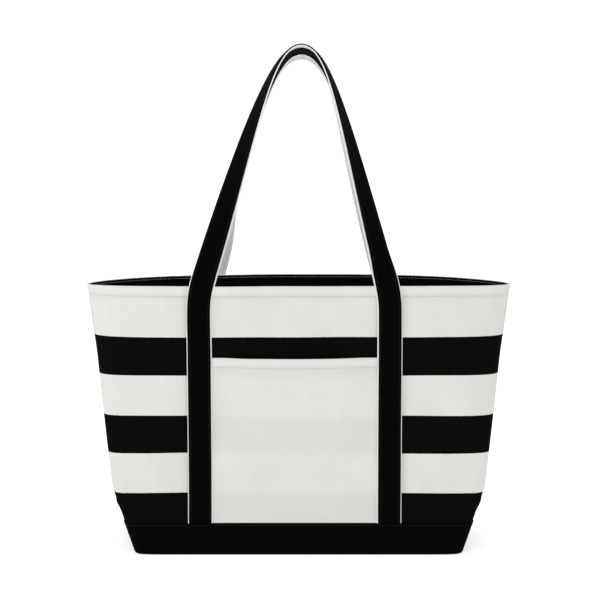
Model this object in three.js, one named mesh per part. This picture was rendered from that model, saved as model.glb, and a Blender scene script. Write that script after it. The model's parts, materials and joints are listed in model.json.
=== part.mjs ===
// A striped canvas boat tote: two body panels sewn at the sides, a boot that wraps the base, a lining,
// a front slip pocket, a hem band round the mouth, and two shoulder straps that run up over the panels
// and on above the mouth as handles. Each handle swings about the mouth's edge.
//
// Millimetres, +Z up, X across the bag, the front faces -Y, and the origin is on the floor at the
// middle of the base.
//
// Every cloth piece is a BoxGeometry whose three directions are bent onto a surface: across the cloth,
// along the cloth, and through its thickness.
import * as THREE from "three";

// ---- Body ----
const rimHeight = 322; // mouth's edge above the floor, at the middle of a panel
const rimDip = 2; // how much lower the mouth is at the side seams
const rimHalfWidth = 254;
const kneeHalfWidth = 224.5; // half width where the boxed corners end
const kneeHeight = 80;
const baseHalfWidth = 196;
const baseHalfDepth = 75;
const rimHalfDepth = 70;
const waist = 6; // how far each panel draws in half way up
const seamLean = -18; // how far the side seams lean forward at the mouth
const baseSquareness = 20; // superellipse exponent of the outline at the base
const rimSquareness = 2; // and at the mouth

// ---- Cloth ----
const canvas = 1.0; // thickness of the body canvas, boot, bands and pocket
const liningCloth = 0.8;
const clearance = 0.3; // between two pieces that lie on each other

// ---- Trim ----
const bootHeight = 38.6;
const bandHeight = 11; // hem band round the mouth
const pocketTop = 237.7;
const pocketBandHeight = 10;
const pocketGape = 8; // room behind the pocket at its middle
const pocketEdge = 10; // width of pocket cloth that lies flat beside each strap

// ---- Straps ----
const strapWidth = 27;
const backingWidth = 29.6; // the natural canvas under the strap shows at both edges
const strapThickness = 1.0;
const backingThickness = 1.2;
const frontHalfSpacing = 112.5; // from the middle of a pair of straps to each strap's middle
const backHalfSpacing = 110;
const frontShift = -4.7; // the pair and the pocket sit off the bag's middle
const backShift = -0.7;
const strapLean = 3.5; // how far a sewn strap has moved inwards by the mouth's edge
const leanHeight = 24; // height over which it does

// ---- Handles ----
const hingeLift = 2; // the free loop starts this far above the mouth's edge
const settle = 0.12; // share of the climb in which a leg leaves the sewn strap's direction
const frontLoop = {
  drop: 282, // top of the loop above the hinge
  shoulderHeight: 203, // where the legs stop running straight
  shoulderHalfWidth: 51.5,
  crownHalfWidth: 33, // length of the curve handle that rounds the top of the loop
  crownShift: 3.5, // how far the top of the loop sits off the bag's middle
  crownInset: 23, // how far it stops short of the bag's middle plane
  crownTwist: 93, // degrees that the strap has turned at the top, where it lies nearly flat
  left: { twist: 4, twistBy: 0.12 }, // what a leg's foot adds, fully by this share of the climb
  right: { twist: 26, twistBy: 0.12 },
};
const backLoop = {
  drop: 277,
  shoulderHeight: 197,
  shoulderHalfWidth: 45,
  crownHalfWidth: 36,
  crownShift: 3,
  crownInset: 17,
  crownTwist: 110,
  left: { twist: 70, twistBy: 0.35 },
  right: { twist: 18, twistBy: 0.12 },
};

// ---- Resolution ----
const wallColumns = 44;
const pocketColumns = 24;
const crowding = 0.5; // 0 for even columns, towards 1 for columns packed at both ends
const tallestRow = 36;
const handleSteps = 84;

const black = { color: 0x0a0a0b, roughness: 0.9, metalness: 0 };
const natural = { color: 0xe4e3de, roughness: 0.9, metalness: 0 };

const root = new THREE.Group();

function addPiece(name, geometry, look) {
  const mesh = new THREE.Mesh(geometry, new THREE.MeshStandardMaterial(look));
  mesh.name = name;
  root.add(mesh);
}

// A box bent by place(across, along, through), each from 0 to 1.
function bentBox(columns, rows, place) {
  const geometry = new THREE.BoxGeometry(1, 1, 1, columns, rows, 1);
  const position = geometry.attributes.position;
  for (let i = 0; i < position.count; i += 1) {
    const across = position.getX(i) + 0.5;
    const along = position.getY(i) + 0.5;
    const through = position.getZ(i) + 0.5;
    const p = place(across, along, through);
    position.setXYZ(i, p.x, p.y, p.z);
  }
  turnBackFaceDiagonals(geometry);
  return positionOnly(geometry);
}

// BoxGeometry splits the squares of its back face along the other diagonal. Splitting both faces alike
// keeps two layers of cloth the same distance apart all over.
function turnBackFaceDiagonals(geometry) {
  const { start, count } = geometry.groups[5];
  const index = geometry.index;
  for (let i = start; i < start + count; i += 6) {
    const a = index.getX(i);
    const b = index.getX(i + 1);
    const c = index.getX(i + 4);
    const d = index.getX(i + 2);
    [a, b, c, a, c, d].forEach((vertex, k) => index.setX(i + k, vertex));
  }
}

function positionOnly(geometry) {
  geometry.deleteAttribute("normal");
  geometry.deleteAttribute("uv");
  geometry.computeVertexNormals();
  return geometry;
}

const mix = THREE.MathUtils.lerp;

// ---- The bag's outline ----

// Half width, half depth, squareness and forward lean of the side seams at a height.
function outlineAt(height) {
  const t = height / rimHeight;
  const halfWidth =
    height < kneeHeight
      ? mix(baseHalfWidth, kneeHalfWidth, height / kneeHeight)
      : mix(kneeHalfWidth, rimHalfWidth, (height - kneeHeight) / (rimHeight - kneeHeight));
  return {
    halfWidth,
    halfDepth: mix(baseHalfDepth, rimHalfDepth, t) - 4 * waist * t * (1 - t),
    squareness: mix(rimSquareness, baseSquareness, (1 - t) ** 2),
    lean: seamLean * t,
  };
}

const outlineSamples = 720;
const outlineCache = new Map();

// The front (-1) or back (+1) half of the outline at a height, from the left seam to the right seam,
// as points with the distance run along it. Each point is where a ray from the middle meets the
// superellipse |x/halfWidth|^n + |y/halfDepth|^n = 1.
function halfOutline(side, height) {
  const key = side + ":" + height;
  if (outlineCache.has(key)) return outlineCache.get(key);
  const { halfWidth, halfDepth, squareness, lean } = outlineAt(height);
  const points = [];
  let run = 0;
  for (let i = 0; i <= outlineSamples; i += 1) {
    const angle = Math.PI * (1 - i / outlineSamples);
    const c = Math.cos(angle);
    const s = Math.sin(angle);
    const reach =
      (Math.abs(c / halfWidth) ** squareness + Math.abs(s / halfDepth) ** squareness) **
      (-1 / squareness);
    const x = reach * c;
    const y = side * reach * s + lean * (x / halfWidth) ** 2;
    if (i) {
      const last = points[i - 1];
      run += Math.hypot(x - last.x, y - last.y);
    }
    points.push({ x, y, run });
  }
  outlineCache.set(key, points);
  return points;
}

// A point on the body's outer face. round runs 0 to 0.5 along the front from the left seam to the
// right, and 0.5 to 1 back along the back panel.
function bodyPoint(round, height) {
  const w = ((round % 1) + 1) % 1;
  const side = w < 0.5 ? -1 : 1;
  const share = w < 0.5 ? w * 2 : 2 - w * 2;
  const points = halfOutline(side, height);
  const target = share * points[outlineSamples].run;
  let low = 0;
  let high = outlineSamples;
  while (high - low > 1) {
    const middle = (low + high) >> 1;
    if (points[middle].run < target) low = middle;
    else high = middle;
  }
  const step = points[high].run - points[low].run;
  const k = step > 0 ? (target - points[low].run) / step : 0;
  const x = mix(points[low].x, points[high].x, k);
  const y = mix(points[low].y, points[high].y, k);
  return new THREE.Vector3(x, y, height - dipAt(x, height));
}

function dipAt(x, height) {
  return rimDip * (height / rimHeight) * (x / outlineAt(height).halfWidth) ** 4;
}

// The body's surface pushed out (or in) along its own normal.
function bodyOffset(round, height, out) {
  const p = bodyPoint(round, height);
  const nudge = 0.002;
  const rise = 1;
  const along = bodyPoint(round + nudge, height).sub(bodyPoint(round - nudge, height));
  const up = bodyPoint(round, height + rise).sub(bodyPoint(round, Math.max(height - rise, 0)));
  const normal = along.cross(up).normalize();
  normal.z = 0;
  return p.addScaledVector(normal.normalize(), out);
}

// A point on the front or back panel at a given x, pushed out along the normal.
function panelOffset(side, x, height, out) {
  const yAt = (xx, hh) => {
    const { halfWidth, halfDepth, squareness, lean } = outlineAt(hh);
    const k = Math.abs(xx / halfWidth);
    return side * halfDepth * (1 - k ** squareness) ** (1 / squareness) + lean * k ** 2;
  };
  const slope = (yAt(x + 1, height) - yAt(x - 1, height)) / 2;
  const normal = new THREE.Vector3(-slope * side, side, 0).normalize();
  return new THREE.Vector3(x, yAt(x, height), height - dipAt(x, height)).addScaledVector(normal, out);
}

// Heights where every piece has a row, so that pieces that lie on each other have matching facets.
const bandBottom = rimHeight - bandHeight;
const pocketBandBottom = pocketTop - pocketBandHeight;
const levels = splitTall([bootHeight, kneeHeight, pocketBandBottom, pocketTop, bandBottom, rimHeight]);

function splitTall(heights) {
  const sorted = heights.sort((p, q) => p - q);
  return sorted.flatMap((height, k) => {
    if (k === 0) return [height];
    const below = sorted[k - 1];
    const parts = Math.ceil((height - below) / tallestRow);
    return Array.from({ length: parts }, (_, i) => mix(below, height, (i + 1) / parts));
  });
}

function rowsBetween(bottom, top) {
  const inner = levels.filter((height) => height > bottom + 1 && height < top - 1);
  return [bottom, ...inner, top];
}

// Columns crowd together at the side seams, where the outline turns sharply.
function column(share) {
  return share - (crowding * Math.sin(2 * Math.PI * share)) / (2 * Math.PI);
}

// A wall of cloth round one half of the bag, between two heights and two offsets from the body.
function halfWall(side, bottom, top, inside, outside) {
  const rows = rowsBetween(bottom, top);
  const rowCount = rows.length - 1;
  const seamGap = clearance / 2 / halfOutline(side, rimHeight)[outlineSamples].run;
  return bentBox(wallColumns, rowCount, (across, along, through) => {
    const share = mix(seamGap, 1 - seamGap, column(across));
    const round = side < 0 ? share / 2 : 0.5 + share / 2;
    return bodyOffset(round, rows[Math.round(along * rowCount)], mix(inside, outside, through));
  });
}

// ---- Base ----

// A disc-like solid that fills the bag's outline: a LatheGeometry of the profile, whose circles become
// outlines. Profile points are [share of the way out, offset from the body, height].
function outlineLathe(profile) {
  const points = profile.map(([share, , height]) => new THREE.Vector2(share, height));
  const around = wallColumns * 2;
  const geometry = new THREE.LatheGeometry(points, around);
  const position = geometry.attributes.position;
  for (let ring = 0; ring <= around; ring += 1) {
    const turn = (ring % around) / around;
    const half = turn < 0.5 ? 0 : 0.5;
    const round = half + column((turn - half) * 2) / 2;
    profile.forEach(([share, out, height], k) => {
      const p = bodyOffset(round, Math.max(height, 0), out);
      position.setXYZ(ring * profile.length + k, p.x * share, p.y * share, height);
    });
  }
  return positionOnly(geometry);
}

const bootInside = clearance;
const bootOutside = clearance + canvas;
const bodyBottom = canvas + clearance; // underside of the body canvas, on the boot
const liningOutside = -(canvas + clearance);
const liningInside = liningOutside - liningCloth;
const liningBottom = bodyBottom + canvas + clearance;

function baseBoot() {
  return outlineLathe([
    [0, 0, 0],
    [1, bootOutside, 0],
    [1, bootOutside, bootHeight],
    [1, bootInside, bootHeight],
    [1, bootInside, canvas],
    [0, 0, canvas],
  ]);
}

// A flat sheet inside the walls.
function baseSheet(outside, bottom, thickness) {
  return outlineLathe([
    [0, 0, bottom],
    [1, outside, bottom],
    [1, outside, bottom + thickness],
    [0, 0, bottom + thickness],
  ]);
}

addPiece("base_boot", baseBoot(), black);
addPiece("base_panel", baseSheet(-(canvas + clearance), bodyBottom, canvas), natural);
addPiece("base_lining", baseSheet(liningInside - clearance, liningBottom, liningCloth), black);

// ---- Walls ----
for (const [name, side] of [["front", -1], ["back", 1]]) {
  addPiece(name + "_panel", halfWall(side, bodyBottom, rimHeight, -canvas, 0), natural);
  addPiece(
    name + "_lining",
    halfWall(side, liningBottom, rimHeight, liningInside, liningOutside),
    black,
  );
  addPiece(
    name + "_rim_band",
    halfWall(side, bandBottom, rimHeight, clearance, clearance + canvas),
    natural,
  );
}

// ---- Straps sewn to the body ----
const legBottom = bootHeight + clearance;
const backingIn = 2 * clearance + canvas; // over the pocket's edge and the band
const backingOut = backingIn + backingThickness;
const strapIn = backingOut + clearance;
const strapOut = strapIn + strapThickness;

// Where the middle of a strap lies at a height: sign is -1 for the left one and +1 for the right one.
function strapCentre({ shift, halfSpacing }, sign, height) {
  const rise = Math.max(height - (rimHeight - leanHeight), 0) / leanHeight;
  return shift + sign * (halfSpacing - strapLean * rise ** 2);
}

function strapLeg(pair, sign, width, inside, outside) {
  const rows = rowsBetween(legBottom, rimHeight);
  const rowCount = rows.length - 1;
  return bentBox(2, rowCount, (across, along, through) => {
    const height = rows[Math.round(along * rowCount)];
    const x = strapCentre(pair, sign, height) + pair.side * (0.5 - across) * width;
    return panelOffset(pair.side, x, height, mix(inside, outside, through));
  });
}

const strapPairs = [
  { name: "front", side: -1, shift: frontShift, halfSpacing: frontHalfSpacing, loop: frontLoop },
  { name: "back", side: 1, shift: backShift, halfSpacing: backHalfSpacing, loop: backLoop },
];

for (const pair of strapPairs) {
  for (const [hand, sign] of [["left", -1], ["right", 1]]) {
    addPiece(
      pair.name + "_strap_" + hand,
      strapLeg(pair, sign, strapWidth, strapIn, strapOut),
      black,
    );
    addPiece(
      pair.name + "_strap_backing_" + hand,
      strapLeg(pair, sign, backingWidth, backingIn, backingOut),
      natural,
    );
  }
}

// ---- Front pocket ----
const pocketSideFlat = frontHalfSpacing - backingWidth / 2; // the strap's inner edge

// The pocket stands off the panel most at the middle of its mouth, and lies flat at its sides and at
// the boot.
function pocketStandoff(x, height) {
  const fromMiddle = Math.abs(x - frontShift);
  const free = 1 - THREE.MathUtils.smoothstep(fromMiddle, pocketSideFlat / 2, pocketSideFlat - pocketEdge);
  const rise = Math.sqrt(Math.max(height - bootHeight, 0) / (pocketTop - bootHeight));
  return clearance + (pocketGape - clearance) * free * rise;
}

function pocketSheet(halfWidth, bottom, top, inside, outside) {
  const rows = rowsBetween(bottom, top);
  const rowCount = rows.length - 1;
  return bentBox(pocketColumns, rowCount, (across, along, through) => {
    const x = frontShift + mix(-halfWidth, halfWidth, across);
    const height = rows[Math.round(along * rowCount)];
    return panelOffset(-1, x, height, pocketStandoff(x, height) + mix(inside, outside, through));
  });
}

const pocketBandIn = canvas + clearance;
const pocketBandHalfWidth = pocketSideFlat - clearance;
addPiece("front_pocket", pocketSheet(frontHalfSpacing, legBottom, pocketTop, 0, canvas), natural);
addPiece(
  "pocket_hem_band",
  pocketSheet(pocketBandHalfWidth, pocketBandBottom, pocketTop, pocketBandIn, pocketBandIn + canvas),
  natural,
);

// ---- Handles ----
const hingeHeight = rimHeight + hingeLift;
const strapMiddle = (backingOut + strapIn) / 2; // the plane between the strap and its backing

// The loop's middle line: up one leg, over the rounded crown and down the other leg. It starts on the
// left at the front and on the right at the back, so that both straps face away from the bag.
function loopPath(pair) {
  const { side, loop } = pair;
  const crown = new THREE.Vector3(loop.crownShift, side * loop.crownInset, hingeHeight + loop.drop);
  const leg = (sign) => {
    const foot = panelOffset(side, strapCentre(pair, sign, rimHeight), rimHeight, strapMiddle);
    foot.z = hingeHeight;
    const shoulder = foot.clone().lerp(crown, loop.shoulderHeight / loop.drop);
    shoulder.x = sign * loop.shoulderHalfWidth;
    const crownEnd = crown.clone();
    crownEnd.x += sign * loop.crownHalfWidth;
    return [foot, shoulder, crownEnd, crown];
  };
  const path = new THREE.CurvePath();
  path.add(new THREE.CubicBezierCurve3(...leg(side)));
  path.add(new THREE.CubicBezierCurve3(...leg(-side).reverse()));
  return path;
}

// Each leg turns as it climbs: its inner edge swings outwards, until the strap lies flat at the crown.
function loopFrame(pair, path, along) {
  const climb = 1 - Math.abs(2 * along - 1);
  const middle = path.getPointAt(along);
  const tangent = path.getTangentAt(along);
  const outward = new THREE.Vector3(0, pair.side, 0);
  const inward = tangent.clone().cross(outward).normalize();
  const level = new THREE.Vector3(along < 0.5 ? -pair.side : pair.side, 0, 0);
  const free = THREE.MathUtils.smoothstep(climb, 0, settle);
  const sideways = level.lerp(inward, free).normalize();
  const facing = outward.addScaledVector(tangent, -outward.dot(tangent)).normalize();
  const onLeft = along < 0.5 === pair.side < 0;
  const foot = onLeft ? pair.loop.left : pair.loop.right;
  const settled = THREE.MathUtils.smoothstep(climb, 0, foot.twistBy);
  const degrees = mix(foot.twist * settled, pair.loop.crownTwist, climb);
  const twist = THREE.MathUtils.degToRad(degrees);
  const widthways = sideways.multiplyScalar(Math.cos(twist)).addScaledVector(facing, Math.sin(twist));
  const normal = widthways.clone().cross(tangent).normalize();
  return { middle, widthways, normal };
}

// Where the facets break across a strap or its backing. Both break at the narrower one's edges, so
// that the two layers stay parallel as they twist.
function breaksAcross(width) {
  const inner = [strapWidth, backingWidth].filter((other) => other < width).map((other) => other / 2);
  return [-width / 2, ...inner.map((half) => -half), 0, ...inner, width / 2];
}

function loopLayer(pair, width, inside, outside) {
  const path = loopPath(pair);
  const breaks = breaksAcross(width);
  const columns = breaks.length - 1;
  return bentBox(columns, handleSteps, (across, along, through) => {
    const { middle, widthways, normal } = loopFrame(pair, path, along);
    return middle
      .addScaledVector(widthways, breaks[Math.round(across * columns)])
      .addScaledVector(normal, mix(inside, outside, through));
  });
}

const layerGap = clearance / 2;
for (const pair of strapPairs) {
  addPiece(
    pair.name + "_handle_strap",
    loopLayer(pair, strapWidth, layerGap, layerGap + strapThickness),
    black,
  );
  addPiece(
    pair.name + "_handle_backing",
    loopLayer(pair, backingWidth, -layerGap - backingThickness, -layerGap),
    natural,
  );
}

export default root;
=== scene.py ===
"""A striped canvas tote bag: canvas body, black boot, lining, hem bands, slip pocket and two
doubled straps that run up the body and on above the mouth as handles.

Metres, +Z up, X across the bag, the front faces -Y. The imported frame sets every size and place.
"""

import json
import math

import bpy
import numpy as np
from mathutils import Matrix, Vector


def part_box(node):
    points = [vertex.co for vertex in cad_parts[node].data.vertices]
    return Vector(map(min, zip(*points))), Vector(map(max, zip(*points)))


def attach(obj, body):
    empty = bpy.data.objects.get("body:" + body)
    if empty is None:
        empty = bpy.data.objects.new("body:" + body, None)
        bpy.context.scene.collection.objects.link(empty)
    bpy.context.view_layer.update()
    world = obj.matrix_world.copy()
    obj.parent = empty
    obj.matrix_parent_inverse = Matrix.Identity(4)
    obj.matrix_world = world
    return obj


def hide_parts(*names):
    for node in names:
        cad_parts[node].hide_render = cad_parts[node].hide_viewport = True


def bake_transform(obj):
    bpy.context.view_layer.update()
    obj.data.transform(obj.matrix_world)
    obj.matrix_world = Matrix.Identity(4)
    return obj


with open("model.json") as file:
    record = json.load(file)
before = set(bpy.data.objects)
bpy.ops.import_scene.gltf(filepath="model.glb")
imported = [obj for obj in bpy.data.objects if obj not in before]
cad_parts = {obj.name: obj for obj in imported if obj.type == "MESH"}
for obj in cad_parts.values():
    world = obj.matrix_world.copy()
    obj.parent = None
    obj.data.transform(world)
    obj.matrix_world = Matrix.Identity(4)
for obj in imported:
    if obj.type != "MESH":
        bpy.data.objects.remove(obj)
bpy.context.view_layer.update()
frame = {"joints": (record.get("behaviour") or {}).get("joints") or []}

bl_info = {
    "name": "Striped Tote",
    "version": (1, 0, 0),
    "blender": (4, 5, 0),
    "location": "View3D > Sidebar > Tote",
    "description": "Builds a striped canvas tote bag around its frame",
    "category": "Object",
}

BAG, FRONT_HANDLE, BACK_HANDLE = "bag", "front_handle", "back_handle"
FRONT, BACK = -1, 1
SIDES = {"front": FRONT, "back": BACK}
MM = 0.001


def span(node, axis):
    """How far a CAD node reaches along an axis: (lowest, highest)."""
    low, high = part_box(node)
    return low[axis], high[axis]


RIM = span("front_panel", 2)[1]
BOOT_TOP = span("base_boot", 2)[1]
RIM_HALF_WIDTH = span("front_panel", 0)[1]
BASE_HALF_DEPTH = span("back_panel", 1)[1]
BAND_BOTTOM_AT_SEAM = span("front_rim_band", 2)[0]
POCKET_TOP = span("front_pocket", 2)[1]
HINGE = frame["joints"][0]["pos_m"][2]

# Offsets from the body canvas's outer face, outwards.
CANVAS = 1.0 * MM
GAP = 0.3 * MM
LINING_OUT = -(CANVAS + GAP)
LINING_IN = LINING_OUT - 0.8 * MM
STRAP_PLANE = 2.95 * MM  # the plane between a strap and its backing

STRAP_OFFSET = -0.3 * MM  # the black strap sits towards the loop's outer side on its backing
STITCH_INSET = 2.6 * MM  # from a strap's edge in to its row of stitches
BAND_ROW = 1.8 * MM  # from a hem band's lower edge up to its stitches
BOOT_ROW = 3.0 * MM  # from the boot's top down to its stitches
LINING_ROW = 2.8 * MM  # from the mouth down to the lining's stitches
ON_BAND, ON_BOOT = 1.30 * MM, 1.32 * MM  # where the thread lies on them, out from the cloth below
BOX_HEIGHT, BOX_INSET = 22 * MM, 6 * MM  # the stitched box inside, its inset from the mouth and the strap
FOLD_AT = (0.2140, 0.0665)  # distance from the middle and height of the fold above each boxed corner
FOLD_SLOPE = (0.9, 0.436)  # its slant, across and up
FOLD_SIZE = (4.5 * MM, 17 * MM)  # half its width and half its length

# Columns and rows of the cloths' grids.
BODY_GRID, LINING_GRID, POCKET_GRID = (250, 130), (200, 90), (150, 120)
RIM_COLUMNS, POCKET_HEM_COLUMNS = 320, 200


# ---------------------------------------------------------------- sizes and colours


def length(name, description, default):
    """A size in metres."""
    return bpy.props.FloatProperty(
        name=name, description=description, default=default, unit="LENGTH", precision=4
    )


def number(name, description, default):
    """A share, an exponent or another plain value."""
    return bpy.props.FloatProperty(name=name, description=description, default=default)


def angle(name, description, degrees):
    """A turn, given in degrees."""
    return bpy.props.FloatProperty(
        name=name, description=description, default=math.radians(degrees), subtype="ANGLE"
    )


def colour(name, description, default):
    """A linear red, green and blue."""
    return bpy.props.FloatVectorProperty(
        name=name, description=description, default=default, subtype="COLOR", size=3, min=0, max=1
    )


class ToteBodySizes(bpy.types.PropertyGroup):
    """The bag's outline and how its cloth lies."""

    knee_half_width: length("Knee half width", "Half width where the boxed corners end", 0.2245)
    knee_height: length("Knee height", "Height where the boxed corners end", 0.080)
    base_half_width: length("Base half width", "Half width of the base", 0.196)
    rim_half_depth: length("Rim half depth", "Half depth of the mouth", 0.070)
    waist: length("Waist", "How far each panel draws in half way up", 0.006)
    seam_lean: length("Seam lean", "How far the side seams lean forward at the mouth", -0.018)
    rim_dip: length("Rim dip", "How much lower the mouth is at the side seams", 0.002)
    base_squareness: number("Base squareness", "Superellipse exponent at the base", 20.0)
    rim_squareness: number("Rim squareness", "Superellipse exponent at the mouth", 2.0)
    base_rounding: length("Base rounding", "Radius under the base's edge", 0.0028)
    slack: length("Slack", "Height of the broad waves in the body canvas", 0.0034)
    pucker: length("Pucker", "Height of the ripples that sewing leaves", 0.0003)
    corner_fold: length("Corner fold", "Height of the fold above each boxed corner", 0.0016)
    tuck: length("Tuck", "How far the row of stitches pulls the cloth in under the hem band", 0.0008)


class ToteTrimSizes(bpy.types.PropertyGroup):
    """Bands, pocket, boot and stripes."""

    band_height: length("Band height", "Hem band round the mouth", 0.011)
    pocket_band_height: length("Pocket band height", "Hem band across the pocket", 0.0101)
    pocket_gape: length("Pocket gape", "How far the pocket's mouth stands off", 0.0065)
    pocket_sag: length("Pocket sag", "How much lower the pocket's mouth hangs at its middle", 0.0014)
    stripe_pitch: length("Stripe pitch", "From one stripe's top to the next", 0.0935)
    stripe_width: length("Stripe width", "Height of a black stripe", 0.0455)
    top_stripe: length("Top stripe", "Top of the highest black stripe", 0.2621)
    stitch_pitch: length("Stitch pitch", "From one stitch to the next", 0.0036)
    stitch_length: length("Stitch length", "Length of a stitch that shows", 0.0025)
    thread: length("Thread", "Radius of the sewing thread", 0.00028)


class ToteStrapSizes(bpy.types.PropertyGroup):
    """The two doubled straps and their loops."""

    strap_width: length("Strap width", "Black strap", 0.0270)
    backing_width: length("Backing width", "Natural canvas under the strap", 0.0296)
    strap_thickness: length("Strap thickness", "Black strap", 0.0012)
    backing_thickness: length("Backing thickness", "Natural canvas under the strap", 0.0012)
    settle: number("Settle", "Share of the climb in which a leg leaves the sewn direction", 0.12)
    lean: length("Lean", "How far a sewn strap has moved inwards by the mouth's edge", 0.0035)
    lean_height: length("Lean height", "Height over which it does", 0.024)
    ease: length("Ease", "Length over which each bend is eased", 0.009)
    crown_bulge: length("Crown bulge", "How far the back strap's backing hangs at the top", 0.0095)


class ToteLoopSizes(bpy.types.PropertyGroup):
    """One strap's places on the bag and the curve of its loop."""

    half_spacing: length("Half spacing", "From the middle of the pair to each sewn strap", 0.1125)
    shift: length("Shift", "How far the pair sits off the bag's middle", -0.0047)
    drop: length("Drop", "Top of the loop above its feet", 0.282)
    shoulder_height: length("Shoulder height", "Where the legs stop running straight", 0.203)
    shoulder_half_width: length("Shoulder half width", "Half width there", 0.0515)
    crown_half_width: length("Crown half width", "Curve handle that rounds the top", 0.033)
    crown_shift: length("Crown shift", "How far the top sits off the bag's middle", 0.0035)
    crown_inset: length("Crown inset", "How far it stops short of the bag's middle plane", 0.023)
    crown_twist: angle("Crown twist", "Turn of the strap at the top, where it lies nearly flat", 93)
    left_twist: angle("Left twist", "Turn that the left leg's foot adds", 4)
    left_by: number("Left twist by", "Share of the climb by which the left leg has turned", 0.12)
    right_twist: angle("Right twist", "Turn that the right leg's foot adds", 26)
    right_by: number("Right twist by", "Share of the climb by which the right leg has turned", 0.12)


BACK_LOOP = {
    "half_spacing": 0.110,
    "shift": -0.0007,
    "drop": 0.277,
    "shoulder_height": 0.197,
    "shoulder_half_width": 0.045,
    "crown_half_width": 0.036,
    "crown_shift": 0.003,
    "crown_inset": 0.017,
    "crown_twist": math.radians(110),
    "left_twist": math.radians(70),
    "left_by": 0.35,
    "right_twist": math.radians(18),
}


class ToteLooks(bpy.types.PropertyGroup):
    """Colours of the cloths and threads."""

    natural: colour("Natural canvas", "Undyed cotton", (0.56, 0.558, 0.537))
    backing: colour("Strap backing", "Undyed cotton of the straps", (0.66, 0.66, 0.645))
    stripe: colour("Woven stripe", "Black yarn in the body canvas", (0.0026, 0.0027, 0.0027))
    black: colour("Black canvas", "Boot and straps", (0.0006, 0.0010, 0.0009))
    lining: colour("Lining", "Plain black cloth", (0.0022, 0.0022, 0.0024))
    floor: colour("Floor", "Studio floor", (0.8, 0.8, 0.8))
    floor_glow: number("Floor glow", "Light that the floor gives off", 0.45)


def body():
    """The body's sizes in the scene, as the three functions below give the other groups."""
    return bpy.context.scene.tote_body


def trim():
    return bpy.context.scene.tote_trim


def straps():
    return bpy.context.scene.tote_straps


def looks():
    return bpy.context.scene.tote_looks


# ---------------------------------------------------------------- mesh building


def smoothstep(x, low, high):
    """0 up to low, 1 from high on, and three t squared minus two t cubed between them."""
    t = np.clip((x - low) / (high - low), 0, 1)
    return t * t * (3 - 2 * t)


def unit(v):
    """Vectors divided by their lengths."""
    return v / np.linalg.norm(v, axis=-1, keepdims=True)


def squared_to(v, along):
    """Unit vectors nearest to v that stand square to the unit vectors along."""
    return unit(v - along * np.einsum("ij,ij->i", v, along)[:, None])


def run_along(line):
    """The length run at each point of a line, from 0 at its start."""
    return np.concatenate([[0], np.cumsum(np.linalg.norm(np.diff(line, axis=0), axis=1))])


def resampled(values, run, at):
    """Rows of values given at the lengths run, taken at the lengths at."""
    return np.stack([np.interp(at, run, column) for column in values.T], 1)


def signed_volume(points, faces):
    """Sum of the signed volumes of the tetrahedra from the origin to each triangle."""
    a, b, c = (points[faces[:, k]] for k in range(3))
    return np.einsum("ij,ij->i", a, np.cross(b, c)).sum() / 6


def add_piece(name, points, quads, triangles, uv, sharp=50):
    """Makes a mesh object from points, quads and triangles, turned so that it faces outwards."""
    split = [quads[:, [0, 1, 2]], quads[:, [0, 2, 3]], triangles]
    if signed_volume(points, np.vstack(split)) < 0:
        quads, triangles = quads[:, ::-1], triangles[:, ::-1]
    mesh = bpy.data.meshes.new(name)
    mesh.from_pydata(points.tolist(), [], quads.tolist() + triangles.tolist())
    layer = mesh.uv_layers.new(name="cloth")
    corners = np.concatenate([quads.ravel(), triangles.ravel()])
    layer.data.foreach_set("uv", uv[corners].astype(np.float32).ravel())
    mesh.polygons.foreach_set("use_smooth", np.ones(len(mesh.polygons), bool))
    mesh.set_sharp_from_angle(angle=math.radians(sharp))
    mesh.validate()
    piece = bpy.data.objects.new(name, mesh)
    bpy.context.scene.collection.objects.link(piece)
    return piece


def grid_quads(rows, columns, wrap=False):
    """The quads of a grid of points numbered row by row, closed round the columns if wrap."""
    r = np.arange(rows - 1)[:, None] * columns
    c = np.arange(columns if wrap else columns - 1)[None, :]
    right = (c + 1) % columns
    return np.stack([r + c, r + right, r + columns + right, r + columns + c], -1).reshape(-1, 4)


def add_sheet(name, outer, inner, uv):
    """A closed sheet of cloth between two grids of points with the same rows and columns."""
    rows, columns = outer.shape[:2]
    count = rows * columns
    index = np.arange(count).reshape(rows, columns)
    edge = np.concatenate([index[0], index[1:, -1], index[-1, -2::-1], index[-2:0:-1, 0]])
    after = np.roll(edge, -1)
    walls = np.stack([after, edge, edge + count, after + count], -1)
    face = grid_quads(rows, columns)
    quads = np.vstack([face, face[:, ::-1] + count, walls])
    points = np.vstack([outer.reshape(-1, 3), inner.reshape(-1, 3)])
    flat = uv.reshape(-1, 2)
    return add_piece(name, points, quads, np.empty((0, 3), int), np.vstack([flat, flat]))


def end_fans(rings, around):
    """The triangles from a tube's first and last rings to the two points numbered after its rings."""
    c = np.arange(around)
    n = np.roll(c, -1)
    start = np.stack([n, c, np.full(around, rings * around)], -1)
    end = np.stack([c, n, np.full(around, rings * around + 1)], -1)
    end[:, :2] += (rings - 1) * around
    return np.vstack([start, end])


def add_tube(name, rings, uv, sharp=50):
    """A closed tube through rings of points (ring, point, xyz), each end closed by a fan."""
    count, around = rings.shape[:2]
    points = np.vstack([rings.reshape(-1, 3), rings[0].mean(0)[None], rings[-1].mean(0)[None]])
    flat = np.vstack([uv.reshape(-1, 2), uv[0].mean(0)[None], uv[-1].mean(0)[None]])
    return add_piece(name, points, grid_quads(count, around, wrap=True), end_fans(count, around), flat, sharp)


# ---------------------------------------------------------------- the bag's surface


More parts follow.
